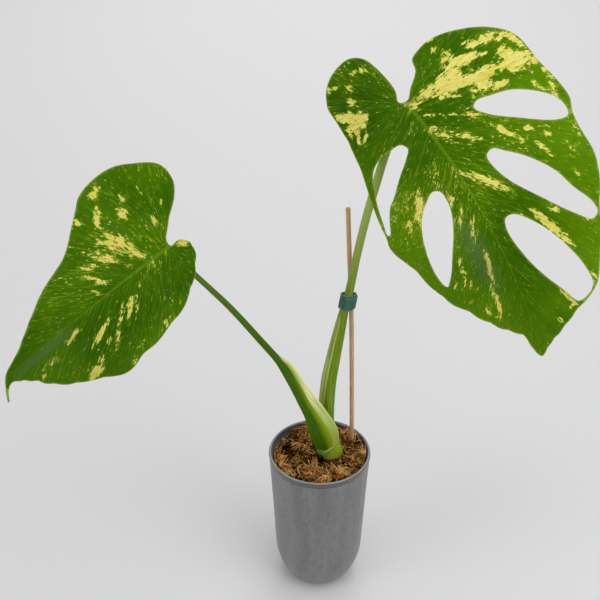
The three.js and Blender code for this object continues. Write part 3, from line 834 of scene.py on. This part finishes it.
# %% The limb helper
def limb(mesh, stations, across, rings, sides, swell=None):
    """Pulls a ring of points along the stations. swell(t, z, side) adds to the radius."""
    layers = mesh.verts.layers.float
    side_at, back_at, rise_at = [
        layers.get(name) or layers.new(name) for name in ("side", "back", "rise")
    ]
    places = smooth_points(stations, rings + 1)
    ring = bmesh.ops.create_circle(mesh, segments=sides, radius=1, cap_ends=True)["verts"]
    rise = 0
    for number, (x, y, z, width, depth, wing) in enumerate(places):
        centre = Vector((x, y, z))
        before, after = [Vector(places[min(max(number + i, 0), rings)][:3]) for i in (-1, 1)]
        tangent = (after - before).normalized()
        side = Vector(across)
        side = (side - tangent * side.dot(tangent)).normalized()
        back = tangent.cross(side)
        rise += (centre - before).length
        if number:
            edges = {e for v in ring for e in v.link_edges if e.other_vert(v) in set(ring)}
            new = set(only(BMVert, bmesh.ops.extrude_edge_only(mesh, edges=list(edges))))
            beside = [[e.other_vert(v) for e in v.link_edges] for v in ring]
            ring = [next(v for v in others if v in new) for others in beside]
        for i, v in enumerate(ring):
            angle = 2 * pi * i / sides
            cosine, sine = cos(angle), sin(angle)
            extra = swell(number / rings, z, cosine) if swell else 0
            out = (width + extra) * cosine + max(0, cosine) ** 8 * max(0, wing)
            v.co = (centre + side * out + back * (depth + extra) * sine) * MM
            v[side_at], v[back_at], v[rise_at] = cosine, sine, rise
    mesh.faces.new(ring)


print("limb helper is ready")

# %% [markdown]
# ## Stalk and stem finish
# The back of a stalk is a deep green with fine lengthwise lines. The sheath, which once held
# the next leaf, is pale and yellowish with darker threads, and a thin bright rim marks its
# edge. Towards the foot the sheath turns greener. Beside it the left stalk's skin turns
# yellow, and on the right stalk the same mark is painted shade that darkens the foot. Above
# the sheath the stalk grows paler.

# %% Stalk material
EDGE_LOW, EDGE_HIGH = 12, 92
left_sheath = (148, 250, (0.42, 0.9))
right_sheath = (148, 280, (0.74, 0.8))


def stalk_finish(name, sheath, top, deep, light, sheath_light, sheath_dark, foot_tint_and_shade):
    """sheath has the heights in millimetres where it starts and ends, and how far round its
    edge lies at both ends. top tells how pale the stalk turns above it."""
    foot, sheath_top, edges = sheath
    stalk = Finish(name, Specular_IOR_Level=0.06)
    side, back, rise = [reading(stalk, n) for n in ("side", "back", "rise")]
    place = place_on(stalk)
    height = height_at(place)
    sockets = {0: side * 3, 1: back * 3, 2: rise * 0.012}
    round_it = stalk.node("CombineXYZ", {}, sockets)
    lines = grain(round_it, 4.0, 3, 0.6)
    threads = grain(round_it, 2.6, 2, 0.5)
    flecks = grain(place, 700, 2, 0.6)
    edge = side - between(height, foot + EDGE_LOW, foot + EDGE_HIGH, *edges)
    edge = edge + (threads - 0.5) * 0.06
    lower = between(height, foot + 95, foot + 30)
    green = coats(
        deep,
        (between(lines, 0.35, 0.65), light),
        (between(side, -0.55, -1.0) * 0.7, light),
        (between(flecks, 0.62, 0.75) * 0.35, (150, 180, 80)),
        (between(height, sheath_top - 4, sheath_top + 110) * top, (176, 200, 102)),
        # Towards the foot: a yellow tint on the left stalk, painted shade on the right one.
        (lower * between(edge, -0.65, 0), foot_tint_and_shade),
    )
    pale = coats(
        sheath_light,
        (between(threads, 0.38, 0.6), sheath_dark),
        (between(height, foot + 68, foot + 26) * 0.95,
         coats((190, 204, 106), (between(threads, 0.36, 0.6), (146, 168, 60)))),
    )
    sheathed = between(height, sheath_top, sheath_top - 6)
    mask = between(edge, 0, 0.05) * sheathed
    rim = between(edge.sum("ABSOLUTE"), 0.09, 0.02) * sheathed
    face = coats(
        green,
        (mask, pale),
        (rim * between(lower, 0, 1, 0.6, 0.1), (196, 212, 110)),
        (between(height, foot + 3.5, foot) * 0.6, (150, 186, 84)),
    )
    return stalk.paint(
        Base_Color=face,
        Roughness=between(lines, 0.3, 0.7, 0.38, 0.5),
        Normal=relief(lines * 0.7 + threads * 0.5 * mask, 0.35, 0.6),
    )


left_stalk_green = stalk_finish(
    "left stalk green", left_sheath, top=0.15, deep=(54, 92, 8), light=(76, 114, 8),
    sheath_light=(252, 248, 204), sheath_dark=(212, 216, 124), foot_tint_and_shade=(138, 166, 14),
)
# On this stalk the foot colour is painted shade: the skin beside the sheath darkens towards the
# foot.
right_stalk_green = stalk_finish(
    "right stalk green", right_sheath, top=0.8, deep=(92, 122, 10), light=(138, 162, 50),
    sheath_light=(172, 180, 104), sheath_dark=(120, 138, 58), foot_tint_and_shade=(88, 108, 4),
)
print("stalk finishes are ready")

# %% [markdown]
# ## The two stalks
# Both start in the stem's node and end under their blades. The sheathed side has a step
# where the sheath's edge lies on the stalk, and the last stretch swells a little where the
# blade can turn, as it does on the living plant.

# %% Make the stalks
def stalk_swell(foot, sheath_top, edges):
    def swell(t, z, side):
        share = clamp((z - foot - EDGE_LOW) / (EDGE_HIGH - EDGE_LOW))
        edge = edges[0] + (edges[1] - edges[0]) * share * share * (3 - 2 * share)
        sheath = 0.55 * clamp((sheath_top - z) / 10) if z > foot + 2 else 0
        step = clamp((side - edge + 0.12) / 0.12)
        groove = 0.4 * bell(side - edge + 0.1, 0.1)
        return sheath * (step - groove) + 0.45 * bell(t - 0.93, 0.06)

    return swell


def stalk(name, leaf, stations, across, finish, sheath, node):
    mesh = bmesh.new()
    places = seated(leaf, stations)
    limb(mesh, places, across, rings=150, sides=48, swell=stalk_swell(*sheath))
    face_out(mesh)
    piece(name, mesh, finish, "stalk", node)


stalk("left_stalk", left_leaf, left_stations, (0.88, 0.12, 0.46), left_stalk_green,
      left_sheath, "stalk_left")
stalk("right_stalk", right_leaf, right_stations, (-0.95, -0.3, 0.15), right_stalk_green,
      right_sheath, "stalk_right")

# %% [markdown]
# ## The stem piece
# The cutting is a short length of stem: green skin, a ridge at the node where the leaves
# spring, with a pale line painted along it as its highlight, and a brown callus where it was
# cut. Its roots run down into the moss, out of sight.

# %% Finish the stem
NODE_RISE = 20.3

stem_green = Finish("stem green", Specular_IOR_Level=0.12)
stem_place = place_on(stem_green)
stem_cloud = grain(stem_place, 130, 3, 0.6)
stem_line = grain(stretch(stem_place, (1, 1, 0.2)), 420, 2, 0.6)
stem_rise = reading(stem_green, "rise") + (stem_cloud - 0.5) * 2
callus = between(stem_rise, 9.2, 8.2)
stem_colour = coats(
    (128, 152, 20),
    (between(stem_cloud, 0.35, 0.65), (160, 180, 56)),
    # Painted highlight: a pale line along the ridge of the node.
    (between((stem_rise - NODE_RISE).sum("ABSOLUTE"), 1.6, 0.4) * 0.6, (186, 206, 110)),
    (callus, (112, 76, 38)),
)
stem_green.paint(
    Base_Color=stem_colour,
    Roughness=between(callus, 0, 1, 0.4, 0.8),
    Normal=relief(stem_line + stem_cloud, 0.5, 0.5),
)
print("stem finish is ready")

# %% Make the stem
ROOT_TURNS = (0.6, 2.2, 3.7, 5.3)
ROOT_LENGTH = 62
ROOT_RADIUS = 1.6


def stem_swell(t, *_):
    """The node's ring, the groove under it and the worn foot."""
    return 0.7 * bell(t - 0.93, 0.045) - 0.35 * bell(t - 0.84, 0.03) - 14 * max(0, 0.05 - t)


def root_stations(number, turn):
    out = Vector((cos(turn), sin(turn), 0))
    length = ROOT_LENGTH * (1 - 0.1 * number)
    reaches = (3.5, 4.5, 8 + 2 * number, 11 + 2 * number, 10 + 3 * number)
    depths = (-3, 0.25 * length, 0.5 * length, 0.75 * length, length)
    for i, (reach, depth) in enumerate(zip(reaches, depths)):
        place = Vector(stem_stations[0][:3]) + out * reach - Vector((0, 0, depth))
        radius = ROOT_RADIUS * (1 - 0.14 * i)
        yield (*place, radius, radius, 0)


stem_mesh = bmesh.new()
limb(stem_mesh, stem_stations, (0.93, 0, 0.36), rings=40, sides=64, swell=stem_swell)
for number, turn in enumerate(ROOT_TURNS):
    limb(stem_mesh, list(root_stations(number, turn)), (0.6, 0.8, 0), rings=16, sides=12)
face_out(stem_mesh)
piece("cut_stem", stem_mesh, stem_green.material, "stem", "stem")

# %% [markdown]
# ## Stake
# A thin rod of pale wood, a little bowed, with its ends cut square. It is a limb like the
# stalks, because a cylinder has no bow. The grain runs along it.

# %% Make the stake
STAKE_SIDES = 24

wood = Finish("stake wood", Specular_IOR_Level=0.25, Roughness=0.65)
wood_place = stretch(place_on(wood), (1, 1, 0.05))
wood_line = grain(wood_place, 1500, 3, 0.6)
wood_broad = grain(wood_place, 260, 2, 0.5)
wood_colour = coats(
    (190, 148, 106),
    (between(wood_line, 0.3, 0.7), (226, 190, 146)),
    (between(wood_broad, 0.45, 0.7) * 0.3, (166, 122, 82)),
)
wood.paint(Base_Color=wood_colour, Normal=relief(wood_line, 0.15, 0.6))
stake_mesh = bmesh.new()
limb(stake_mesh, stake_stations, (1, 0, 0), rings=60, sides=STAKE_SIDES)
ends = [f for f in stake_mesh.faces if len(f.verts) == STAKE_SIDES]
end_edges = list({e for f in ends for e in f.edges})
bmesh.ops.bevel(
    stake_mesh, geom=end_edges, offset=0.3 * MM, offset_type="OFFSET", segments=2, profile=0.5,
    affect="EDGES", material=-1,
)
face_out(stake_mesh)
piece("stake_rod", stake_mesh, wood.material, "stake", "stake")

# %% [markdown]
# ## Pot
# The pot was turned on a wheel or cast round, so one profile spun about the middle makes it:
# a flat base, a rounded foot, a slightly widening side and a rounded lip. Small bumps in
# the mesh itself keep its outside from looking machined.

# %% Draw the pot's profile and spin it
POT_WALL = 3.2
BASE_RADIUS = 21
FOOT_HEIGHT = 39
FOOT_OUT, FOOT_POWER = 19.4, 1.7
SIDE_RADIUS, SIDE_FLARE = 40.4, 4.9 / 100
ROUGH_TOP, ROUGH_FADE = 128, 12


def foot_radius(height):
    share = clamp(1 - height / FOOT_HEIGHT)
    return BASE_RADIUS + FOOT_OUT * (1 - share**FOOT_POWER) ** (1 / FOOT_POWER)


def turned(profile, steps):
    """Spins points of (radius, height) in millimetres about the upright axis."""
    mesh = bmesh.new()
    points = [mesh.verts.new((radius * MM, 0, height * MM)) for radius, height in profile]
    lines = [mesh.edges.new(pair) for pair in zip(points, points[1:])]
    bmesh.ops.spin(
        mesh, geom=points + lines, cent=(0, 0, 0), axis=(0, 0, 1), angle=2 * pi,
        steps=steps, use_merge=True,
    )
    bmesh.ops.remove_doubles(mesh, verts=mesh.verts, dist=1e-6)
    face_out(mesh)
    return mesh


foot_heights = [FOOT_HEIGHT * (i / 18) ** 2.2 for i in range(18)]
side_heights = [FOOT_HEIGHT + i * 5 for i in range(20)]
lip_turns = [-0.5 + i / 14 * 2.42 for i in range(15)]
pot_profile = [
    (0, 0),
    *[(foot_radius(h), h) for h in foot_heights],
    *[(SIDE_RADIUS + SIDE_FLARE * (h - FOOT_HEIGHT), h) for h in side_heights],
    (45.3, 138.8),
    *[(44.5 + 1.5 * cos(t), 142.7 + 2 * sin(t)) for t in lip_turns],
    (43, 142.4), (42.8, 132), (38, 44),
    *[(foot_radius(h) - POT_WALL, h + 5) for h in reversed(foot_heights)],
    (0, 5),
]
pot_mesh = turned(pot_profile, steps=168)
for v in pot_mesh.verts:
    radius = hypot(v.co.x, v.co.y)
    outside = radius > foot_radius(v.co.z / MM) * MM - 0.5 * MM and radius > 20 * MM
    if outside and v.co.z < ROUGH_TOP * MM:
        bumps = noise.noise(Vector((v.co.x * 90, v.co.y * 90, v.co.z * 22)))
        fade = min(1, (ROUGH_TOP * MM - v.co.z) / (ROUGH_FADE * MM))
        out = Vector((v.co.x, v.co.y, 0)).normalized()
        v.co += out * (0.22 * bumps - 0.1) * fade * MM
print("pot profile:", len(pot_profile), "points")

# %% [markdown]
# The body is matt mid-grey stoneware, rough to the touch, with soft upright streaks left by
# the glaze. The lip is smoother and darker and catches the light, and a pale line painted
# round its top is a painted highlight.

# %% Pot material
LIP_START = 139.6

stone = Finish("stoneware", Specular_IOR_Level=0.5, Sheen_Weight=0.2, Sheen_Roughness=0.5)
stone_place = place_on(stone)
stone_height = height_at(stone_place)
streaks = grain(stretch(stone_place, (1, 1, 0.12)), 95, 3, 0.55)
grit = grain(stone_place, 1100, 3, 0.7)
lumps = grain(stretch(stone_place, (1, 1, 0.4)), 360, 4, 0.7)
lip = between(stone_height, LIP_START, LIP_START + 1)
seam = between((stone_height - LIP_START).sum("ABSOLUTE"), 1.1, 0.3)
stone_colour = coats(
    (107, 106, 107),
    (between(streaks, 0.3, 0.7), (122, 122, 121)),
    (between(grit, 0.5, 0.62) * 0.35, (160, 160, 158)),
    (between(lumps, 0.5, 0.34) * 0.45, (84, 82, 84)),
    (lip, (82, 81, 82)),
    (seam * 0.6, (52, 51, 52)),
    # Painted highlight: a pale line round the top of the lip.
    (between(stone_height, 143.7, 144.3) * 0.7, (168, 166, 162)),
)
stone.paint(
    Base_Color=stone_colour,
    Roughness=between(lip, 0, 1, 0.5, 0.2),
    Normal=relief((lumps * 1.2 + grit * 0.4 + streaks * 0.8) * (1 - lip), 0.7, 0.6),
)
piece("stoneware_pot", pot_mesh, stone.material, "pot", "pot")

# %% [markdown]
# ## Moss
# Dried bog moss fills the pot: a lumpy bed, painted dark as the shade deep among the strands,
# and on it a tangle of short curled strands.
# The bed is another turned shape with its top pushed up and down. Each strand is a spline of
# a few points whose bevel gives it thickness. Hair would be quicker to lay, but doesn't
# become a mesh by itself. Most strands spring in tufts that lean to one side, as moss does.

# %% Make the bed of the moss
BED_GAP = 0.6
MOSS_LEVEL = 137.5
HOLLOWS = [
    (-29, 12, 10, 5), (-13, -2, 6, 4), (-2, -19, 6, 4), (28, -17, 7, 6), (22, 14, 7, 5),
    (-19, -13, 5, 5), (31, 24, 9, -4),
]


def clump(x, y):
    """How far the moss bulges up or sinks in, in millimetres."""
    height = 8 * noise.noise(Vector((x, y, 0)) * 0.095)
    height += 5 * noise.noise(Vector((x, y, 7)) * 0.21)
    for middle_x, middle_y, wide, deep in HOLLOWS:
        height -= deep * bell(hypot(x - middle_x, y - middle_y), wide)
    return min(5, height)


def moss_top(x, y):
    """Height of the moss, in millimetres. It is level round the stem and dips before it."""
    calm = exp(-((x - 10) ** 2 + (y + 4) ** 2) / 170)
    dip = 8.5 * exp(-((x - 11) ** 2 + (y + 8) ** 2) / 150)
    return MOSS_LEVEL + 0.05 * x - 0.04 * y + clump(x, y) * (1 - 0.85 * calm) - dip


bed_profile = [
    (0, 5 + BED_GAP),
    *[(foot_radius(h) - POT_WALL - BED_GAP, h + 5 + BED_GAP) for h in foot_heights],
    (36.8, 46), (42, 128),
    *[(42.2 * (1 - i / 34), 137) for i in range(34)],
    (0, 137),
]
bed_mesh = turned(bed_profile, steps=120)
for v in bed_mesh.verts:
    if v.co.z > 130 * MM:
        x, y = v.co.x / MM, v.co.y / MM
        v.co.z = (moss_top(x, y) - 2.5 + 1.2 * noise.noise(Vector((x, y, 5)) * 0.6)) * MM
print("moss bed:", len(bed_mesh.verts), "points")

# %% Scatter the strands
MOSS_REACH = 41.4
STEM_AT = 12
TAPER = (0.9, 1.2, 0.9, 1.0, 0.7, 0.35)

moss_chance = random.Random(11)
strands = bpy.data.curves.new("strands", "CURVE")
strands.dimensions = "3D"
strands.bevel_depth = 0.5 * MM
strands.bevel_resolution = 0
strands.resolution_u = 2


def strand(x, y, heading, length, lift, climb, thick):
    """A curled strand that keeps inside the pot and outside the stem."""
    z = moss_top(x, y) + lift
    bend = moss_chance.uniform(-0.55, 0.55)
    spline = strands.splines.new("BEZIER")
    spline.bezier_points.add(len(TAPER) - 1)
    step = length / (len(TAPER) - 1)
    for width, point in zip(TAPER, spline.bezier_points):
        point.co = (x * MM, y * MM, z * MM)
        point.handle_left_type = point.handle_right_type = "AUTO"
        point.radius = width * thick * moss_chance.uniform(0.75, 1.25)
        x += step * cos(heading)
        y += step * sin(heading)
        z += step * climb
        heading += (bend + moss_chance.uniform(-0.5, 0.5)) * 0.6
        climb -= moss_chance.uniform(0.1, 0.45)
        reach = hypot(x, y)
        if reach > MOSS_REACH:
            x, y = x * MOSS_REACH / reach, y * MOSS_REACH / reach
        from_stem = hypot((x - STEM_AT) / 11.5, y / 10)
        if from_stem < 1:
            x, y = STEM_AT + (x - STEM_AT) / from_stem, y / from_stem


def bare(x, y):
    """The stem stands here."""
    return hypot((x - 12.5) / 13.5, (y + 1.5) / 12) < 1


def anywhere():
    """A random spot on the moss, seldom in a hollow."""
    while True:
        turn = moss_chance.uniform(0, 2 * pi)
        reach = MOSS_REACH * moss_chance.random() ** 0.5
        x, y = reach * cos(turn), reach * sin(turn)
        if clump(x, y) > -0.5 or moss_chance.random() < 0.15:
            return x, y


def tufts(count, strands_each, longest, thick, fan):
    """Strands that spring from one spot, most of them to the same side within the fan."""
    for _ in range(count):
        x, y = anywhere()
        lift = moss_chance.uniform(-2, 1.2)
        lean = moss_chance.uniform(0, 2 * pi)
        for _ in range(strands_each):
            heading = moss_chance.gauss(lean, fan)
            from_x, from_y = x + 1.5 * cos(heading), y + 1.5 * sin(heading)
            length = moss_chance.uniform(0.5, 1) * longest
            if not bare(from_x, from_y) and hypot(from_x, from_y) < MOSS_REACH:
                climb = moss_chance.uniform(0.2, 1)
                strand(from_x, from_y, heading, length, lift, climb, thick)


def strays(count, longest, thick):
    """Single strands, anywhere and any way round."""
    for _ in range(count):
        x, y = anywhere()
        if not bare(x, y):
            length = moss_chance.uniform(0.5, 1) * longest
            heading, lift = moss_chance.uniform(0, 6.3), moss_chance.uniform(-2, 1)
            strand(x, y, heading, length, lift, 0.3, thick)


tufts(90, 11, longest=14, thick=0.72, fan=0.5)
tufts(60, 8, longest=11, thick=1.15, fan=0.7)
tufts(40, 9, longest=8, thick=1.0, fan=2.5)
strays(110, longest=20, thick=0.65)
strays(40, longest=15, thick=1.2)
strand_object = bpy.data.objects.new("strands", strands)
strand_mesh = bmesh.new()
strand_mesh.from_mesh(strand_object.to_mesh())
bpy.data.objects.remove(strand_object)
print("strands:", len(strands.splines), "splines,", len(strand_mesh.faces), "faces")

# %% Moss materials
def moss_finish(name, dark, middle, light):
    """Painted shade: dark where the moss lies low, lighter where it stands up, with olive and
    rusty locks.
    """
    moss = Finish(name, Specular_IOR_Level=0.05, Roughness=0.9)
    place = place_on(moss)
    patch = grain(place, 130, 2, 0.6)
    fleck = grain(place, 500, 2, 0.6)
    tint = grain(stretch(place, (1, 1, 0.4)), 60, 1, 0.5)
    lock = grain(place, 100, 1, 0.5)
    # Painted shade: the moss is darker the lower it lies, as if its hollows were shaded.
    height_shade_mask = between(height_at(place) + (patch - 0.5) * 12, 132, 140)
    face = coats(
        dark,
        (height_shade_mask, middle),
        (between(fleck, 0.46, 0.66) * height_shade_mask, light),
        (between(tint, 0.55, 0.65) * 0.45, (120, 108, 30)),
        (between(tint, 0.43, 0.33) * 0.4, (168, 86, 18)),
        (between(lock, 0.47, 0.35) * 0.7, dark),
        (between(lock, 0.5, 0.64) * height_shade_mask * 0.6, light),
    )
    return moss.paint(Base_Color=face, Normal=relief(fleck + patch, 1.0, 0.8))


# The bed's dark colours are painted shade for the deep gaps among the strands.
bed_brown = moss_finish("moss bed", (20, 10, 2), (46, 26, 8), (84, 52, 20))
strand_tan = moss_finish("moss strands", (34, 16, 2), (160, 102, 40), (244, 196, 122))
piece("moss_bed", bed_mesh, bed_brown, "moss", "moss")
piece("moss_strands", strand_mesh, strand_tan, "moss")

# %% [markdown]
# ## Tie
# A soft teal strap holds the stalk to the stake. It runs once round both, its end laps over
# on the outer side, and its hems are paler. It is drawn as a line round two circles, stood
# up and doubled outwards, because a bent box would crease at the turns.

# %% Finish the tie
tie_teal = Finish("tie teal", Roughness=0.8, Specular_IOR_Level=0.2)
tie_place = place_on(tie_teal)
tie_weave = grain(tie_place, 1400, 2, 0.6)
tie_lines = grain(stretch(tie_place, (1, 1, 0.12)), 700, 2, 0.5)
tie_shade = grain(tie_place, 160, 1, 0.5)
tie_colour = coats(
    (38, 80, 60),
    (between(tie_weave, 0.3, 0.7), (72, 114, 90)),
    (between(tie_shade, 0.4, 0.6) * 0.5, (54, 96, 94)),
    (between(tie_lines, 0.4, 0.6) * 0.3, (98, 140, 120)),
    (reading(tie_teal, "hem") ** 2 * 0.5, (128, 172, 158)),
)
tie_teal.paint(Base_Color=tie_colour, Normal=relief(tie_weave + tie_lines, 0.4, 0.8))
print("tie finish is ready")

# %% Make the tie
STALK_CENTRE, STAKE_CENTRE = Vector((21.2, 21.1)), Vector((26, 27.3))
STALK_RADIUS, STAKE_RADIUS = 4.6, 2.9
TIE_HEIGHT = 290
TIE_TILT = 0.3
STRAP_ROWS = 6
apart = STAKE_CENTRE - STALK_CENTRE
contact = acos((STALK_RADIUS - STAKE_RADIUS) / apart.length)


def arc(centre, radius, start, end, steps):
    turns = [start + i / steps * (end - start) for i in range(steps + 1)]
    return [(centre + radius * cos(t), radius * sin(t)) for t in turns]


def round_both(extra, start, end):
    """A line round the stalk, from start, and then the stake, to end, in the strap's plane."""
    round_stalk = arc(0, STALK_RADIUS + extra, start, 2 * pi - contact, 22)
    return round_stalk + arc(apart.length, STAKE_RADIUS + extra, -contact, end, 12)


def strap(mesh, line, closed, low, high, thick):
    """A standing band along a line, doubled outwards to its thickness."""
    hem = mesh.verts.layers.float.get("hem") or mesh.verts.layers.float.new("hem")
    corners = [mesh.verts.new((x * MM, y * MM, low * MM)) for x, y in line]
    for v in corners:
        v[hem] = 1
    loop = corners + corners[:1] if closed else corners
    edges = [mesh.edges.new(pair) for pair in zip(loop, loop[1:])]
    wall = []
    for row in range(STRAP_ROWS):
        grown = bmesh.ops.extrude_edge_only(mesh, edges=edges)
        new = only(BMVert, grown)
        edges = [e for e in only(BMEdge, grown) if set(e.verts) <= set(new)]
        wall += only(BMFace, grown)
        bmesh.ops.translate(mesh, verts=new, vec=(0, 0, (high - low) / STRAP_ROWS * MM))
        for v in new:
            v[hem] = row == STRAP_ROWS - 1
    bmesh.ops.recalc_face_normals(mesh, faces=wall)
    bmesh.ops.solidify(mesh, geom=wall, thickness=thick * MM)


tie_mesh = bmesh.new()
inner, lap = round_both(1.1, contact, contact), round_both(2.2, 3.5, 0.8)
strap(tie_mesh, inner, closed=True, low=-5.6, high=7, thick=1.1)
strap(tie_mesh, lap, closed=False, low=-5.8, high=5.2, thick=1.0)
towards_stake = Matrix.Rotation(atan2(apart.y, apart.x), 4, "Z")
stake_side_down = towards_stake @ Matrix.Rotation(TIE_TILT, 4, "Y")
shift = Matrix.Translation(Vector((*STALK_CENTRE, TIE_HEIGHT)) * MM)
bmesh.ops.transform(tie_mesh, matrix=shift @ stake_side_down, verts=tie_mesh.verts)
face_out(tie_mesh)
piece("soft_tie", tie_mesh, tie_teal.material, "tie", "tie")
